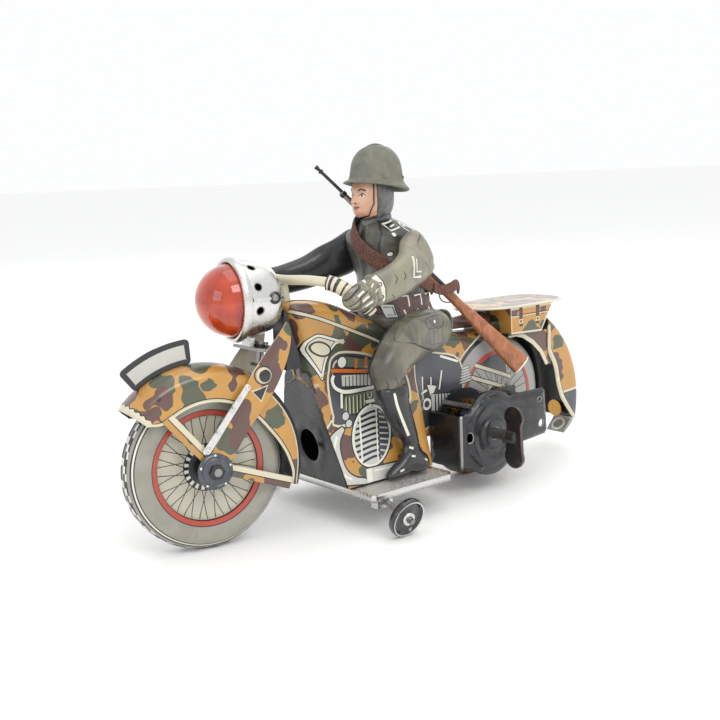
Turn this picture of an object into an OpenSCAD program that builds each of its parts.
// Clockwork tinplate motorcycle with a soldier rider. Millimetres, +X forward, +Y to the rider's left, +Z up.

/* [Wheels] */
// radius of the front wheel over its tyre
wheel_r = 24.8; // [22:0.1:28]
// half the width of the front tyre
tyre_half_w = 5.2; // [4:0.1:6]
// distance from the front wheel's centre to the printed rear wheel's centre
wheelbase = 118; // [105:1:130]
// radius of the driven wheel under the body
drive_r = 14.5; // [12:0.1:16]
// radius of each stabiliser wheel
stab_r = 6.4; // [5:0.1:8]
// slope of the stabiliser axles, in degrees
stab_camber = 18; // [0:1:25]
// how far out each stabiliser wheel stands
stab_y = 36.6; // [33:0.1:42]

/* [Steering] */
// angle the front end is turned to the rider's right, in degrees
steer = 10; // [0:1:16]
// slope of the steering pin, in degrees
rake = 12; // [0:1:30]

/* [Body] */
// half the width of the pressed body
body_half_w = 7; // [5:0.1:9]
// thickness of the tinplate
tin = 0.5; // [0.3:0.05:1]
// height of the footboard's top
board_z = 12.4; // [10:0.1:16]
// half the width of the footboard
board_half_w = 28.3; // [24:0.1:32]

// half the width of the body's flared foot, at the footboard
flare_half_w = 17.5; // [12:0.1:19]

/* [Clockwork] */
// outer face of the clockwork's side plate
clock_y = 23; // [20:0.1:28]
// radius of the drum part of the side plate
drum_r = 14.6; // [12:0.1:18]
// teeth of the great wheel
great_teeth = 36; // [30:2:48]
// teeth of the drive pinion
pinion_teeth = 8; // [8:1:12]

/* [Part] */
// piece to draw, or all

/* [Hidden] */
$fn = 48;
mid_x = -4.08;
front_c = [66, 0, wheel_r + 0.01];
rear_c = [front_c[0] - wheelbase, 0, 27];
drive_c = [-43, 0, drive_r];
key_c = [-32.8, 0, 20.3];
mesh_angle = atan2(drive_c[2] - key_c[2], drive_c[0] - key_c[0]);
stab_c = [20, stab_y, stab_r * cos(stab_camber) + 0.7 * sin(stab_camber) + 0.05];
pivot = [44, 0, 60];
mesh_distance = norm([drive_c[0] - key_c[0], drive_c[2] - key_c[2]]);
tooth_module = 2 * mesh_distance / (great_teeth + pinion_teeth);
mud_r = 31;
mud_half_w = 8.2;
fender_c = [-58, 0, 22];
fender_r = 39.3;

// placing
module in_frame()
    translate([-mid_x, 0, 0])
        children();

module steered()
    in_frame()
        translate(pivot)
            rotate([0, -rake, 0])
                rotate([0, 0, -steer])
                    rotate([0, rake, 0])
                        translate(-pivot)
                            children();

module along_y(c)
    translate(c)
        rotate([-90, 0, 0])
            children();

module side_plate(y, t)
    translate([0, y + t, 0])
        rotate([90, 0, 0])
            linear_extrude(t)
                children();

module mirror_y()
    mirror([0, 1, 0])
        children();

module capsule(a, b, ra, rb)
    hull() {
        translate(a)
            sphere(ra, $fn = 20);
        translate(b)
            sphere(rb, $fn = 20);
    }

// smooth closed outline through a few corner points
function spline(p, i, t) =
    let (n = len(p), a = p[(i + n - 1) % n], b = p[i], c = p[(i + 1) % n], d = p[(i + 2) % n])
        0.5 * (2 * b + (c - a) * t + (2 * a - 5 * b + 4 * c - d) * t * t + (3 * b - a - 3 * c + d) * t * t * t);
function smooth(p, k = 3) = [for (i = [0:len(p) - 1]) for (j = [0:k - 1]) spline(p, i, j / k)];
function unit(v) = v / norm(v);
function inset(p, d) = [for (i = [0:len(p) - 1])
    let (n = len(p), e = unit(p[(i + 1) % n] - p[(i + n - 1) % n])) p[i] + d * [-e[1], e[0]]];
function ring3(p, y) = [for (q = p) [q[0], y, q[1]]];

// half of a pressed shell, open at the seam y = 0, standing out to +y
module pressed_half(outline, depth, t, bulge) {
    n = len(outline);
    steps = [[0, 0], [depth * 0.55, 0.15 * bulge], [depth * 0.85, 0.5 * bulge], [depth, bulge]];
    outer = [for (s = steps) each ring3(inset(outline, s[1]), s[0])];
    inner = [for (s = steps) each ring3(inset(outline, s[1] + t), s[0] - (s[0] > 0 ? t : 0))];
    m = len(steps);
    k = n * m;
    skin = [for (j = [0:m - 2]) for (i = [0:n - 1])
        [j * n + i, (j + 1) * n + i, (j + 1) * n + (i + 1) % n, j * n + (i + 1) % n]];
    lining = [for (j = [0:m - 2]) for (i = [0:n - 1])
        [k + j * n + i, k + j * n + (i + 1) % n, k + (j + 1) * n + (i + 1) % n, k + (j + 1) * n + i]];
    seam = [for (i = [0:n - 1]) [i, (i + 1) % n, k + (i + 1) % n, k + i]];
    cap = [[for (i = [0:n - 1]) (m - 1) * n + i]];
    inner_cap = [[for (i = [n - 1:-1:0]) k + (m - 1) * n + i]];
    polyhedron(concat(outer, inner), concat(skin, lining, seam, cap, inner_cap), convexity = 8);
}

side_outline = smooth([[36.5, 70.5], [27, 70.6], [17, 68.2], [7, 63.6], [-4, 59], [-14, 55.6], [-26, 53.6],
    [-40, 52.6], [-54, 51.6], [-66, 47.2], [-74, 39], [-76.6, 28], [-74.8, 17], [-68, 8.6], [-58, 4.6], [-47, 4.8],
    [-37.5, 8.2], [-30, 14.4], [-22, 17.4], [-12, 14.6], [0, 13.2], [12, 13.2], [20, 15], [25, 22], [27.6, 33],
    [30.2, 45], [33, 56], [35.6, 65]]);

module body_half() {
    difference() {
        pressed_half(side_outline, body_half_w, tin, 1.6);
        along_y([drive_c[0], -1, drive_c[2]])
            cylinder(r = 1.35, h = 12);
        along_y([key_c[0], -1, key_c[2]])
            cylinder(r = 1.9, h = 12);
        along_y([drive_c[0], -1, drive_c[2]])
            cylinder(r = drive_r + 1, h = 5);
    }
}

module body_left()
    color([0.72, 0.55, 0.26])
        in_frame()
            body_half();

module body_right()
    color([0.72, 0.55, 0.26])
        in_frame()
            mirror_y()
                body_half();

// leaning side of the apron, running out to the footboard; g is the depth below its face
module flare_solid(g)
    hull() {
        translate([-16.6, 5, 17])
            cube([48, body_half_w - 4.6 - g, 29]);
        translate([-9.4, 5, board_z + 0.3])
            cube([35.6, flare_half_w - 5 - g, 0.4]);
    }

// folded apron round the body's lower front: leaning sides, and a black front with an arched opening
module front_pan()
    color([0.16, 0.16, 0.17])
        in_frame()
            difference() {
                union() {
                    hull() {
                        translate([26.4, -flare_half_w, board_z + 0.3])
                            cube([0.6, 2 * flare_half_w, 0.3]);
                        translate([31.5, -body_half_w, 45])
                            cube([0.6, 2 * body_half_w, 0.3]);
                    }
                    for (side = [0, 1])
                        mirror([0, side, 0])
                            flare_solid(0);
                }
                for (side = [0, 1])
                    mirror([0, side, 0])
                        translate([-0.2, 0, -0.9])
                            flare_solid(tin);
                side_plate(-body_half_w - 0.05, 2 * body_half_w + 0.1)
                    polygon([[-30, 60], [-30, 5], [25.4, 5], [31, 46], [31, 60]]);
                translate([15, 0, 24])
                    rotate([0, 90, 0])
                        cylinder(r = 4.4, h = 30);
                translate([15, -4.4, 5])
                    cube([30, 8.8, 19]);
            }

// section of a mudguard: a deep channel with a rounded crown, given in radius and width
module channel(r, half_w, skirt, t) {
    crown = [for (a = [0:15:180]) [r - 4.5 + 4.5 * sin(a), half_w * cos(a)]];
    inside = [for (a = [180:-15:0]) [r - 4.5 + (4.5 - t) * sin(a), (half_w - t) * cos(a)]];
    polygon(concat([[r - skirt, half_w]], crown, [[r - skirt, -half_w], [r - skirt, t - half_w]], inside,
        [[r - skirt, half_w - t]]));
}

module mudguard(c, r, half_w, skirt, from, span)
    translate(c)
        rotate([90, 0, 0])
            rotate([0, 0, from])
                rotate_extrude(angle = span, $fn = 96)
                    channel(r, half_w, skirt, tin);

module rear_fender()
    color([0.72, 0.55, 0.26])
        in_frame()
            difference() {
                mudguard(fender_c, fender_r, 10, 13, 124, 70);
                translate([-77, -20, 40])
                    cube([40, 40, 40]);
            }

module tail_flap()
    color([0.28, 0.3, 0.3])
        in_frame()
            side_plate(-4.2, 8.4)
                polygon([[-96.4, 12.2], [-98.6, 11.2], [-93.4, 6.2], [-92.9, 6.6], [-97.2, 11], [-96, 11.6]]);

module tail_lamp()
    color([0.75, 0.42, 0.28])
        in_frame()
            translate([-92.4, 0, 15.4])
                rotate([0, -90, 0])
                    rotate_extrude()
                        polygon([[0, 0], [3, 0], [3, 0.9], [2.7, 2], [1.9, 2.7], [0, 3]]);

module tail_ring()
    color([0.9, 0.9, 0.88])
        in_frame()
            translate([-94.8, 0, 8.6])
                rotate([0, 46, 0])
                    difference() {
                        cylinder(r = 3, h = 0.5);
                        translate([0, 0, -1])
                            cylinder(r = 1.9, h = 3);
                    }

module saddle()
    color([0.2, 0.14, 0.12])
        in_frame()
            difference() {
                hull() {
                    translate([-36, 0, 55.2])
                        scale([1, 0.6, 0.3])
                            sphere(6.2, $fn = 32);
                    translate([-45, 0, 55.4])
                        scale([1.1, 0.7, 0.32])
                            sphere(8.4, $fn = 32);
                }
                translate([-70, -15, 45])
                    cube([60, 30, 9.2]);
                hull() {
                    translate([-36, 0, 54.4])
                        scale([1, 0.6, 0.3])
                            sphere(5.6, $fn = 32);
                    translate([-45, 0, 54.6])
                        scale([1.1, 0.7, 0.32])
                            sphere(7.8, $fn = 32);
                }
            }

module rack_top()
    color([0.72, 0.55, 0.26])
        in_frame()
            translate([0, 0, 59.6])
                linear_extrude(0.8)
                    polygon(smooth([[-40, 0], [-48, 9.5], [-56, 12.6], [-74, 12.6], [-84, 10.5], [-88, 0],
                        [-84, -10.5], [-74, -12.6], [-56, -12.6], [-48, -9.5]]));

module pannier_box()
    color([0.72, 0.55, 0.26])
        in_frame()
            difference() {
                translate([-77, -12, 49.4])
                    cube([22.4, 24, 10.2]);
                translate([-76.5, -11.5, 49.9])
                    cube([21.4, 23, 9.7]);
                along_y([rear_c[0] - 4, -7.6, 27])
                    cylinder(r = 27.5, h = 15.2, $fn = 96);
            }

module footboard()
    color([0.8, 0.8, 0.82])
        in_frame()
            difference() {
                union() {
                    difference() {
                        translate([-9.4, -board_half_w, board_z - 2.2])
                            cube([35, 2 * board_half_w, 2.2]);
                        translate([-8.9, -board_half_w + 0.5, board_z - 3])
                            cube([34, 2 * board_half_w - 1, 2.5]);
                    }
                    for (x = [-7:3:23], s = [-1, 1], y = [10.5:3:25.5])
                        translate([x, s * y, board_z])
                            cylinder(r1 = 0.7, r2 = 0.3, h = 0.25, $fn = 4);
                }
                for (s = [-1, 1])
                    translate([-9.4, s * board_half_w, board_z])
                        rotate([0, 0, 45])
                            cube([3.4, 3.4, 8], center = true);
            }

module stab_bracket()
    color([0.62, 0.62, 0.62])
        in_frame()
            difference() {
                union() {
                    translate([16.5, -27.4, board_z - 1.2])
                        cube([7, 54.8, 0.7]);
                    for (s = [-1, 1])
                        translate([17, s * 25.4 - 1.6, board_z - 5])
                            cube([6, 3.2, 3.9]);
                }
                for (s = [-1, 1])
                    stab_line(s);
            }

// the sloping line of a stabiliser axle
module stab_line(s)
    translate([stab_c[0], s * stab_c[1], stab_c[2]])
        rotate([-s * (90 + stab_camber), 0, 0])
            translate([0, 0, -13.4])
                cylinder(r = 1, h = 16.2);

module stab_axle_left()
    color([0.6, 0.6, 0.6])
        in_frame()
            stab_line(1);

module stab_axle_right()
    color([0.6, 0.6, 0.6])
        in_frame()
            stab_line(-1);

// dished disc wheel with a rolled rim and a long hub
module stab_disc(s)
    translate([stab_c[0], s * stab_c[1], stab_c[2]])
        rotate([-s * (90 + stab_camber), 0, 0])
            rotate_extrude(convexity = 6)
                polygon([[1.05, -1.2], [2.2, -1.2], [2.2, -0.5], [4.2, -0.8], [5, -1], [stab_r - 0.3, -1.1],
                    [stab_r, -0.7], [stab_r, 0.7], [stab_r - 0.3, 1.1], [5.3, 1.1], [4.9, 0.2], [4.2, 0.1], [2.2, 0.4],
                    [2.2, 1.4], [1.05, 1.4]]);

module stab_wheel_left()
    color([0.12, 0.12, 0.13])
        in_frame()
            stab_disc(1);

module stab_wheel_right()
    color([0.12, 0.12, 0.13])
        in_frame()
            stab_disc(-1);

// outline of the clockwork's outer plate: a drum with a flange in front and a tail behind
plate_outline = concat([[-17.3, 10.5], [-17.3, 28.5]],
    [for (a = [34:8:130]) [key_c[0] + drum_r * cos(a), key_c[2] + drum_r * sin(a)]],
    [[-60, 31.8], [-61.4, 15.1], [-46.2, 14]],
    [for (a = [210:9:318]) [key_c[0] + drum_r * cos(a), key_c[2] + drum_r * sin(a)]]);

module clock_case()
    color([0.14, 0.14, 0.15])
        in_frame() {
            difference() {
                union() {
                    side_plate(clock_y - 0.6, 0.6)
                        polygon(plate_outline);
                    along_y([key_c[0], clock_y, key_c[2]])
                        rotate_extrude()
                            polygon([[1.9, 0], [5.2, 0], [4.6, 0.9], [1.9, 0.9]]);
                    along_y([key_c[0], clock_y, key_c[2]])
                        rotate_extrude()
                            polygon([[8.6, 0], [11.6, 0], [11, 0.6], [9.2, 0.6]]);
                }
                along_y([key_c[0], 20, key_c[2]])
                    cylinder(r = 1.9, h = 6);
                along_y([drive_c[0], 20, drive_c[2]])
                    cylinder(r = 1.35, h = 6);
                along_y([-57.3, 20, 19.3])
                    cylinder(r = 1.2, h = 6);
                along_y([-21.3, 20, 20.6])
                    scale([0.8, 1, 1])
                        cylinder(r = 1.5, h = 6);
            }
            translate([-17.8, 8.7, 10.5])
                cube([0.5, clock_y - 9.3, 18]);
            translate([-17.8, clock_y - 0.6, 10.5])
                cube([0.5, 0.6, 18]);
        }

module clock_inner_plate()
    color([0.14, 0.14, 0.15])
        in_frame()
            difference() {
                side_plate(8.2, 0.5)
                    polygon(concat([[-17.3, 10.5], [-17.3, 28.5]],
                        [for (a = [34:8:130]) [key_c[0] + 13.6 * cos(a), key_c[2] + 13.6 * sin(a)]],
                        [[-60, 30.8], [-61, 16.1], [-46.2, 14]],
                        [for (a = [210:9:318]) [key_c[0] + 13.6 * cos(a), key_c[2] + 13.6 * sin(a)]]));
                along_y([key_c[0], 7, key_c[2]])
                    cylinder(r = 1.35, h = 4);
                along_y([drive_c[0], 7, drive_c[2]])
                    cylinder(r = 1.35, h = 4);
            }

module clock_pillars()
    color([0.5, 0.5, 0.52])
        in_frame()
            for (p = [[-24, 30.2], [-21.6, 12.2], [-56.5, 28], [-50, 17.4]])
                along_y([p[0], 8.7, p[1]])
                    cylinder(r = 1.2, h = clock_y - 0.6 - 8.7);

// spiral spring wound round the arbor
module mainspring()
    color([0.35, 0.4, 0.5])
        in_frame()
            side_plate(13.2, 7)
                translate([key_c[0], key_c[2]])
                    polygon(concat(
                        [for (a = [0:15:2520]) (3.1 + 6.2 * a / 2520) * [cos(a), sin(a)]],
                        [for (a = [2520:-15:0]) (2.75 + 6.2 * a / 2520) * [cos(a), sin(a)]]));

module winding_arbor()
    color([0.6, 0.6, 0.6])
        in_frame()
            along_y([key_c[0], 7.4, key_c[2]])
                union() {
                    cylinder(r = 1.3, h = 6);
                    translate([0, 0, 5.4])
                        cylinder(r = 1.8, h = 16.4);
                    translate([0, 0, 21.8])
                        cylinder(r = 1.5, h = 4);
                }

// butterfly key standing in the plane across the shaft
module winding_key()
    color([0.13, 0.12, 0.12])
        in_frame()
            difference() {
                union() {
                    along_y([key_c[0], 29.4, key_c[2]])
                        cylinder(r = 2.3, h = 4.6);
                    translate([key_c[0] - 0.6, 0, 0])
                        rotate([90, 0, 90])
                            linear_extrude(1.2)
                                union() {
                                    for (s = [-1, 1])
                                        translate([32.6, key_c[2] + s * 6.6])
                                            circle(3.9);
                                    translate([30.4, key_c[2] - 5])
                                        square([3.6, 10]);
                                }
                }
                along_y([key_c[0], 28, key_c[2]])
                    cylinder(r = 1.5, h = 5.2);
            }

// spur gear, its first tooth at the given angle
module gear(teeth, m, bore, h, turn) {
    pitch = 360 / teeth;
    root = m * teeth / 2 - 1.15 * m;
    tip = m * teeth / 2 + 0.8 * m;
    difference() {
        linear_extrude(h)
            polygon([for (i = [0:teeth - 1]) for (q = [[root, -0.3], [tip, -0.1], [tip, 0.1], [root, 0.3]])
                q[0] * [cos(turn + (i + q[1]) * pitch), sin(turn + (i + q[1]) * pitch)]]);
        translate([0, 0, -1])
            cylinder(r = bore, h = h + 2);
    }
}

module great_wheel()
    color([0.72, 0.6, 0.3])
        in_frame()
            along_y([key_c[0], 9.9, key_c[2]])
                difference() {
                    gear(great_teeth, tooth_module, 1.36, 1, -mesh_angle);
                    for (a = [45:90:315])
                        rotate([0, 0, a])
                            translate([5.8, 0, -1])
                                cylinder(r = 1.8, h = 4);
                }

module ratchet_wheel()
    color([0.6, 0.6, 0.6])
        in_frame()
            along_y([key_c[0], 11.2, key_c[2]])
                difference() {
                    linear_extrude(0.8)
                        polygon([for (i = [0:11]) for (q = [[3.3, 0], [4.2, 26]])
                            q[0] * [cos(i * 30 + q[1]), sin(i * 30 + q[1])]]);
                    translate([0, 0, -1])
                        cylinder(r = 1.3, h = 3);
                }

module click()
    color([0.6, 0.6, 0.6])
        in_frame()
            along_y([key_c[0], 10.9, key_c[2]])
                linear_extrude(0.9)
                    polygon([[4.4, -0.4], [5.2, -1], [7.6, 2.2], [7.4, 3.4], [6.2, 3.4]]);

module drive_axle()
    color([0.6, 0.6, 0.6])
        in_frame()
            along_y([drive_c[0], -8.2, drive_c[2]])
                cylinder(r = 1.3, h = clock_y + 8.5);

module drive_pinion()
    color([0.72, 0.6, 0.3])
        in_frame()
            along_y([drive_c[0], 9.4, drive_c[2]])
                gear(pinion_teeth, tooth_module, 1.3, 2, 180 - mesh_angle + 180 / pinion_teeth);

module drive_wheel()
    color([0.35, 0.27, 0.22])
        in_frame()
            along_y([drive_c[0], -3, drive_c[2]])
                rotate_extrude(convexity = 6, $fn = 96)
                    polygon([[1.3, 0.4], [3, 0.4], [3, 2.4], [drive_r - 3.2, 2.4], [drive_r - 3, 0.3], [drive_r - 0.6, 0],
                        [drive_r, 0.8], [drive_r, 5.2], [drive_r - 0.6, 6], [drive_r - 3, 5.7], [drive_r - 3.2, 3.6],
                        [3, 3.6], [3, 5.6], [1.3, 5.6]]);

module stop_lever()
    color([0.16, 0.16, 0.17])
        in_frame() {
            side_plate(clock_y + 0.75, 0.6)
                polygon([[-38.9, 19.4], [-40.4, 20], [-46.2, 12.6], [-45.6, 11.4], [-41.8, 12.2], [-40, 15]]);
            along_y([-40.2, clock_y + 0.05, 18.2])
                cylinder(r = 0.7, h = 1.7);
        }

// front end: the pin, and the heights along it of the ears that carry it and of the fork's crown
lower_ear = -7.8;
upper_ear = -2.1;
crown_z = -3.2;
module at_pin()
    translate(pivot)
        rotate([0, -rake, 0])
            children();

module head_bracket()
    color([0.16, 0.16, 0.17])
        in_frame()
            difference() {
                union() {
                    at_pin()
                        for (z = [lower_ear, upper_ear])
                            hull() {
                                translate([0, 0, z])
                                    cylinder(r = 2.6, h = 0.8);
                                translate([-13, -2.8, z])
                                    cube([4, 5.6, 0.8]);
                            }
                    translate([29, -3.2, 50])
                        cube([8.4, 6.4, 18.6]);
                }
                side_plate(-8, 16)
                    polygon(side_outline);
                at_pin()
                    cylinder(r = 1.25, h = 40, center = true);
            }

module steering_pin()
    color([0.6, 0.6, 0.6])
        steered()
            at_pin() {
                translate([0, 0, lower_ear - 0.6])
                    cylinder(r = 1.2, h = upper_ear - lower_ear + 2);
                translate([0, 0, upper_ear + 1])
                    cylinder(r = 2.2, h = 0.7);
            }

fork_outline = smooth([[39.4, 65.6], [42.2, 62.6], [51.6, 52], [57.6, 42], [67.8, 28], [68.6, 22.6], [64.2, 22.2],
    [55, 34.6], [45.8, 45], [40.6, 54], [38.6, 61]]);

module fork_leg()
    difference() {
        union() {
            side_plate(8.9, 0.6)
                polygon(fork_outline);
            along_y([48.6, 9.5, 50.6])
                cylinder(r1 = 2.6, r2 = 1.8, h = 0.8);
        }
        along_y([front_c[0], 5, front_c[2]])
            cylinder(r = 1.2, h = 8);
    }

module fork_left()
    color([0.72, 0.55, 0.26])
        steered() {
            fork_leg();
            difference() {
                at_pin()
                    translate([-3.2, -8.9, crown_z])
                        cube([8.4, 17.8, 1]);
                at_pin()
                    cylinder(r = 1.2, h = 20, center = true);
            }
        }

module fork_right()
    color([0.72, 0.55, 0.26])
        steered()
            mirror_y()
                fork_leg();

// bright link strips beside the fork legs
module fork_links()
    color([0.8, 0.8, 0.82])
        steered()
            for (s = [0, 1])
                mirror([0, s, 0])
                    side_plate(9.5, 0.6)
                        polygon([[52.8, 48], [54.4, 49], [69.4, 31.4], [67.2, 30.4]]);

module front_mudguard()
    color([0.72, 0.55, 0.26])
        steered()
            difference() {
                mudguard(front_c, mud_r, mud_half_w, 10.6, 42, 158);
                translate(front_c)
                    rotate([90, 0, 0])
                        translate([0, 0, -20])
                            linear_extrude(40)
                                polygon([[0, 0], [-19, 8], [-25, -1], [-29, -11.5], [-20, -30]]);
            }

module number_plate()
    color([0.9, 0.88, 0.8])
        steered()
            translate(front_c)
                rotate([90, 0, 0])
                    rotate([0, 0, 53])
                        rotate_extrude(angle = 35, $fn = 96)
                            translate([mud_r, -0.4])
                                square([7.4, 0.8]);

module mudguard_stays()
    color([0.85, 0.8, 0.68])
        steered()
            for (s = [0, 1])
                mirror([0, s, 0]) {
                    side_plate(8.25, 0.6)
                        difference() {
                            union() {
                                polygon([[64.8, 27.6], [68.6, 27], [80.2, 41.2], [77, 43]]);
                                polygon([[63, 26.6], [63.4, 23.2], [42.4, 15], [41, 18.4]]);
                                translate([front_c[0], front_c[2]])
                                    circle(4);
                            }
                            translate([front_c[0], front_c[2]])
                                circle(1.2);
                        }
                }

module front_axle()
    color([0.6, 0.6, 0.6])
        steered()
            along_y([front_c[0], -12, front_c[2]])
                cylinder(r = 1.2, h = 24);

module axle_nuts()
    color([0.3, 0.3, 0.31])
        steered()
            for (s = [0, 1])
                mirror([0, s, 0])
                    along_y([front_c[0], 10.6, front_c[2]])
                        difference() {
                            cylinder(r = 2.4, h = 1.2, $fn = 6);
                            translate([0, 0, -1])
                                cylinder(r = 1.2, h = 4);
                        }

module fork_hubs()
    color([0.3, 0.31, 0.33])
        steered()
            for (s = [0, 1])
                mirror([0, s, 0])
                    along_y([front_c[0], 9.5, front_c[2]])
                        rotate_extrude()
                            polygon([[1.2, 0], [5.4, 0], [5.2, 0.5], [3.4, 1.1], [1.2, 1.1]]);

// thin sheet following an open line of points
function sheet(p, t) = concat(p, [for (i = [len(p) - 1:-1:0])
    let (a = p[max(i - 1, 0)], b = p[min(i + 1, len(p) - 1)], e = unit(b - a)) p[i] + t * [e[1], -e[0]]]);

module wheel_half()
    rotate_extrude(convexity = 8, $fn = 96)
        polygon(sheet([[3, 2.2], [6, 2.3], [15.4, 3.3], [16, 4.4], [17.4, 4.6], [19.2, tyre_half_w], [21.4, tyre_half_w],
            [23.2, 4.3], [24.3, 2.7], [wheel_r, 1.2], [wheel_r, 0.02]], tin));

module wheel_half_left()
    color([0.66, 0.64, 0.58])
        steered()
            along_y(front_c)
                wheel_half();

module wheel_half_right()
    color([0.66, 0.64, 0.58])
        steered()
            mirror_y()
                along_y(front_c)
                    wheel_half();

module wheel_hub()
    color([0.3, 0.31, 0.33])
        steered()
            along_y([front_c[0], -5, front_c[2]])
                difference() {
                    union() {
                        cylinder(r = 2.2, h = 10);
                        for (z = [1.5, 7.26])
                            translate([0, 0, z])
                                cylinder(r = 4, h = 1.24);
                    }
                    translate([0, 0, -1])
                        cylinder(r = 1.25, h = 12);
                }

// headlight, its axis along x
lamp_c = [52.6, 0, 73];

module along_x(c)
    translate(c)
        rotate([0, 90, 0])
            children();

module lamp_housing()
    color([0.82, 0.82, 0.84])
        steered()
            difference() {
                along_x(lamp_c)
                    rotate_extrude(convexity = 6)
                        polygon(sheet([[12, 0], [12, -1.5], [11.8, -3], [11.2, -7], [10.4, -10.5], [9, -12.4], [7, -13.4], [0.05, -13.6]],
                            0.5));
                for (a = [-70:35:70])
                    translate([lamp_c[0] - 4, 0, lamp_c[2]])
                        rotate([a, 0, 0])
                            cylinder(r = 1.1, h = 20);
            }

module lamp_rim()
    color([0.85, 0.85, 0.87])
        steered()
            along_x(lamp_c)
                rotate_extrude(convexity = 6)
                    polygon([[11, 0], [12.1, 0], [12.1, -1.4], [12.6, -1.4], [12.6, 0.8], [12.2, 1.3], [11, 1.3]]);

module lamp_lens()
    color([0.85, 0.25, 0.1, 0.6])
        steered()
            along_x(lamp_c)
                rotate_extrude(convexity = 6, $fn = 64)
                    polygon(concat([for (a = [0:7.5:90]) [10.95 * cos(a), 0.1 + 11 * sin(a)]],
                        [for (a = [90:-7.5:0]) [10.05 * cos(a), 0.1 + 10.2 * sin(a)]]));

module lamp_reflector()
    color([0.8, 0.8, 0.82])
        steered()
            along_x(lamp_c)
                rotate_extrude(convexity = 6)
                    polygon(sheet([[10.9, -0.4], [8.5, -3], [5, -5.4], [0.01, -6]], -0.4));

module lamp_bracket()
    color([0.8, 0.8, 0.82])
        steered()
            difference() {
                at_pin()
                    translate([3.6, -3, crown_z + 1])
                        cube([1.4, 6, 8]);
                along_x(lamp_c - [20, 0, 0])
                    cylinder(r = 12, h = 40);
            }

module lamp_rivets()
    color([0.4, 0.4, 0.42])
        steered()
            for (s = [-1, 1])
                translate([lamp_c[0] - 9, 0, lamp_c[2]])
                    rotate([-s * 88, 0, 0])
                        translate([0, 0, 11.1])
                            cylinder(r1 = 1.3, r2 = 0.8, h = 0.7);

// handlebar, fixed to the body behind the lamp
bar_l = [[35, 0, 77.6], [33.2, 12, 77.8], [29.6, 19.6, 76.4], [25, 25.6, 71.4], [22.4, 27.4, 68]];

// through the given points in one smooth open line
function open_spline(p, i, t) =
    let (a = p[max(i - 1, 0)], b = p[i], c = p[i + 1], d = p[min(i + 2, len(p) - 1)])
        0.5 * (2 * b + (c - a) * t + (2 * a - 5 * b + 4 * c - d) * t * t + (3 * b - a - 3 * c + d) * t * t * t);
bar_corners = concat([for (i = [4:-1:1]) [bar_l[i][0], -bar_l[i][1], bar_l[i][2]]], bar_l);
bar_line = concat([for (i = [0:len(bar_corners) - 2]) for (j = [0:2]) open_spline(bar_corners, i, j / 3)],
    [bar_corners[len(bar_corners) - 1]]);
bar_end = len(bar_line) - 1;
grip_from = bar_end - 7;
grip_to = bar_end - 1;

// ring of points round place i of the handlebar's line
function bar_ring(i, r, sides) =
    let (d = unit(bar_line[min(i + 1, bar_end)] - bar_line[max(i - 1, 0)]), u = unit(cross(d, [1, 0, 0])), w = cross(d, u))
        [for (k = [0:sides - 1]) bar_line[i] + r * (cos(360 * k / sides) * u + sin(360 * k / sides) * w)];

// skin between rings that start at place first of a list of points
function skin(first, rings, sides, outward) = [for (j = [0:rings - 2]) for (k = [0:sides - 1])
    let (a = first + j * sides + k, b = first + j * sides + (k + 1) % sides, q = [a, a + sides, b + sides, b])
        outward ? q : [q[3], q[2], q[1], q[0]]];

module bar_rod(from, to, r, sides = 16) {
    rings = to - from + 1;
    points = [for (i = [from:to]) each bar_ring(i, r, sides)];
    polyhedron(points, concat(skin(0, rings, sides, true), [[for (k = [0:sides - 1]) k]],
        [[for (k = [sides - 1:-1:0]) (rings - 1) * sides + k]]), convexity = 6);
}

module tube(a, b, r) {
    v = b - a;
    translate(a)
        rotate([0, acos(v[2] / norm(v)), atan2(v[1], v[0])])
            cylinder(r = r, h = norm(v), $fn = 16);
}

module handlebar()
    color([0.85, 0.82, 0.72])
        in_frame()
            bar_rod(0, bar_end, 1.5);

module bar_post()
    color([0.85, 0.82, 0.72])
        in_frame()
            difference() {
                tube([33.6, 0, 68], [34.8, 0, 75.9], 1.4);
                side_plate(-8, 16)
                    polygon(side_outline);
            }

module grip(from, to)
    difference() {
        bar_rod(from, to, 2.3);
        bar_rod(from - 1, to + 1, 1.5);
    }

module grip_left()
    color([0.1, 0.1, 0.1])
        in_frame()
            grip(grip_from, grip_to);

module grip_right()
    color([0.1, 0.1, 0.1])
        in_frame()
            grip(1, 7);

// rider
module torso(g) {
    hull() {
        translate([-15, 0, 60])
            scale([9 - g, 12.5 - g, 8.5 - g])
                sphere(1, $fn = 32);
        translate([-9.5, 0, 78])
            scale([9.5 - g, 12.5 - g, 9 - g])
                sphere(1, $fn = 32);
        translate([-8, 0, 87])
            scale([6.5 - g, 12 - g, 5.5 - g])
                sphere(1, $fn = 32);
    }
}

module leg(g) {
    capsule([-16, 8, 56], [9.6, 17.6, 47.6], 6.6 - g, 5.4 - g);
    capsule([9.6, 17.6, 47.6], [3, 19.4, 20.6], 5 - g, 2.9 - g);
    capsule([-2.6, 19.6, 15.6], [7.6, 19.6, 15], 3 - g, 2.6 - g);
    capsule([2, 19.4, 21], [-1.4, 19.6, 15.8], 3.1 - g, 2.8 - g);
}

module rider_half()
    difference() {
        intersection() {
            union() {
                torso(0);
                leg(0);
            }
            translate([-60, 0, board_z + 0.27])
                cube([120, 60, 100]);
        }
        difference() {
            torso(0.9);
            translate([-60, -60, 0])
                cube([120, 60.6, 200]);
        }
        leg(0.9);
        flare_solid(-0.12);
        side_plate(-8, 15.1)
            polygon(side_outline);
        rider_head_solid(0);
        arm_solid();
        rifle_solid();
        translate([-70, -15, 45])
            cube([41, 30, 13.9]);
    }

module rider_body_left()
    color([0.43, 0.43, 0.37])
        in_frame()
            rider_half();

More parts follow.
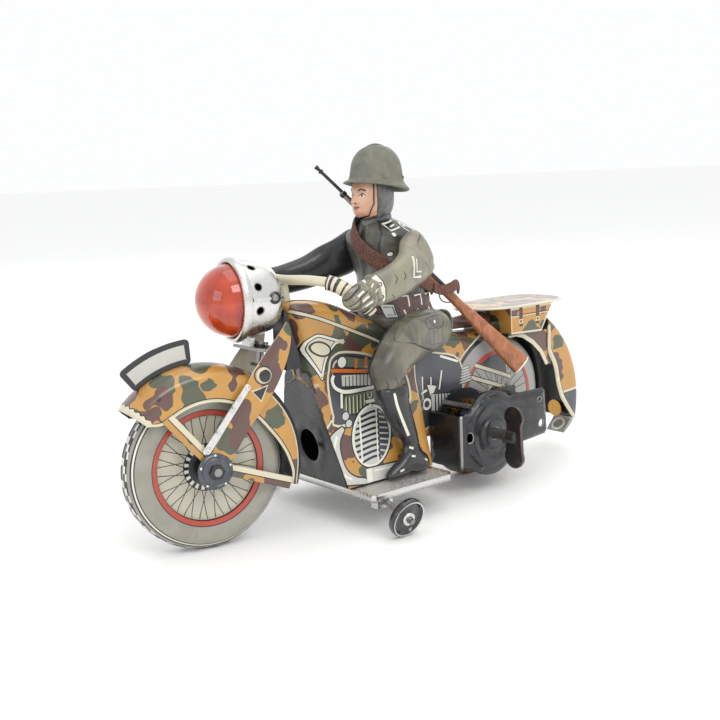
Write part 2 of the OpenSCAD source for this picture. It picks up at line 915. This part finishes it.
module rider_body_right()
    color([0.43, 0.43, 0.37])
        in_frame()
            mirror_y()
                difference() {
                    rider_half();
                    mirror_y()
                        rifle_solid();
                }

module arm_solid() {
    capsule([-8, 14.4, 86.4], [-6.8, 19.8, 76.4], 5.6, 5);
    capsule([-6.8, 19.8, 76.4], [15, 25.4, 71.6], 5, 3.6);
}

module glove_solid()
    hull() {
        translate([17, 25.6, 71.8])
            sphere(3.8, $fn = 20);
        translate([25.6, 25.4, 73.4])
            sphere(3.6, $fn = 20);
        translate([23.6, 26.6, 69.8])
            sphere(3.2, $fn = 20);
    }

module arm()
    difference() {
        union() {
            difference() {
                arm_solid();
                capsule([-8, 14.4, 86.4], [-6.8, 19.8, 76.4], 4.7, 4.1);
                capsule([-6.8, 19.8, 76.4], [15, 25.4, 71.6], 4.1, 2.7);
            }
            glove_solid();
        }
        bar_rod(grip_from - 1, grip_to + 1, 2.34);
    }

module rider_arm_left()
    color([0.56, 0.55, 0.48])
        in_frame()
            arm();

module rider_arm_right()
    color([0.2, 0.21, 0.25])
        in_frame()
            mirror_y()
                difference() {
                    arm();
                    mirror_y()
                        rifle_solid();
                }

module rider_head_solid(g) {
    translate([-2.4, 0, 101.6])
        scale([7.4, 6.4, 8.4])
            sphere(1, $fn = 32);
    translate([-4, 0, 90.4])
        cylinder(r = 4.6, h = 8, $fn = 32);
}

module rider_head()
    color([0.8, 0.6, 0.48])
        in_frame()
            difference() {
                rider_head_solid(0);
                translate([-2.4, 0, 101.6])
                    scale([6.6, 5.6, 7.6])
                        sphere(1, $fn = 32);
                translate([-4, 0, 89])
                    cylinder(r = 3.8, h = 8, $fn = 32);
                helmet_solid();
            }

// steel helmet: a domed crown over a flared brim, each a stack of oval rings of [radius, height]
helmet_c = [-4.4, 0, 104.2];
helmet_outside = [[10.6, -0.6], [10.8, -0.2], [9, 2], [8.7, 5], [7.6, 9], [5.4, 11.8], [2.6, 13.1], [0.6, 13.4]];
helmet_inside = [[10, -0.6], [8.3, 2], [8.1, 5], [7, 8.7], [5, 11.2], [2.4, 12.4], [0.6, 12.7]];
function oval_rings(rings, sides) = [for (q = rings) for (k = [0:sides - 1])
    helmet_c + [1.16 * q[0] * cos(360 * k / sides), q[0] * sin(360 * k / sides), q[1]]];

module helmet_solid(sides = 48) {
    m = len(helmet_outside);
    polyhedron(oval_rings(helmet_outside, sides), concat(skin(0, m, sides, true), [[for (k = [0:sides - 1]) k]],
        [[for (k = [sides - 1:-1:0]) (m - 1) * sides + k]]), convexity = 4);
}

module rider_helmet(sides = 48) {
    m = len(helmet_outside);
    n = m * sides;
    m2 = len(helmet_inside);
    brim = [for (k = [0:sides - 1]) [k, (k + 1) % sides, n + (k + 1) % sides, n + k]];
    color([0.5, 0.5, 0.46])
        in_frame()
            polyhedron(concat(oval_rings(helmet_outside, sides), oval_rings(helmet_inside, sides)),
                concat(skin(0, m, sides, true), skin(n, m2, sides, false), brim,
                    [[for (k = [sides - 1:-1:0]) (m - 1) * sides + k]], [[for (k = [0:sides - 1]) n + (m2 - 1) * sides + k]]),
                convexity = 6);
}

rifle_a = [9, -14.6, 111.5];
rifle_b = [-57, 16, 38.9];

rifle_d = unit(rifle_a - rifle_b);
function along(t) = rifle_a + (rifle_b - rifle_a) * t;

module rifle_solid() {
    tube(along(0), along(0.3), 0.8);
    tube(along(0.12), along(0.5), 1.5);
    capsule(along(0.44), along(0.66), 1.7, 1.9);
    hull() {
        translate(along(0.66))
            sphere(1.9, $fn = 20);
        translate(along(0.995))
            rotate([0, acos(rifle_d[2]), atan2(rifle_d[1], rifle_d[0])])
                cube([7.6, 2.6, 1], center = true);
    }
}

module rifle()
    color([0.75, 0.45, 0.25])
        in_frame()
            difference() {
                rifle_solid();
                helmet_solid();
                rider_head_solid(0);
            }

body_left();
body_right();
front_pan();
rear_fender();
tail_flap();
tail_lamp();
tail_ring();
saddle();
rack_top();
pannier_box();
footboard();
stab_bracket();
stab_axle_left();
stab_axle_right();
stab_wheel_left();
stab_wheel_right();
clock_case();
clock_inner_plate();
clock_pillars();
mainspring();
winding_arbor();
winding_key();
ratchet_wheel();
great_wheel();
click();
drive_axle();
drive_pinion();
drive_wheel();
stop_lever();
head_bracket();
steering_pin();
fork_left();
fork_right();
fork_links();
front_mudguard();
number_plate();
mudguard_stays();
front_axle();
axle_nuts();
wheel_half_left();
wheel_half_right();
wheel_hub();
fork_hubs();
lamp_housing();
lamp_rim();
lamp_lens();
lamp_reflector();
lamp_bracket();
lamp_rivets();
handlebar();
bar_post();
grip_left();
grip_right();
rider_body_left();
rider_body_right();
rider_arm_left();
rider_arm_right();
rider_head();
rider_helmet();
rifle();
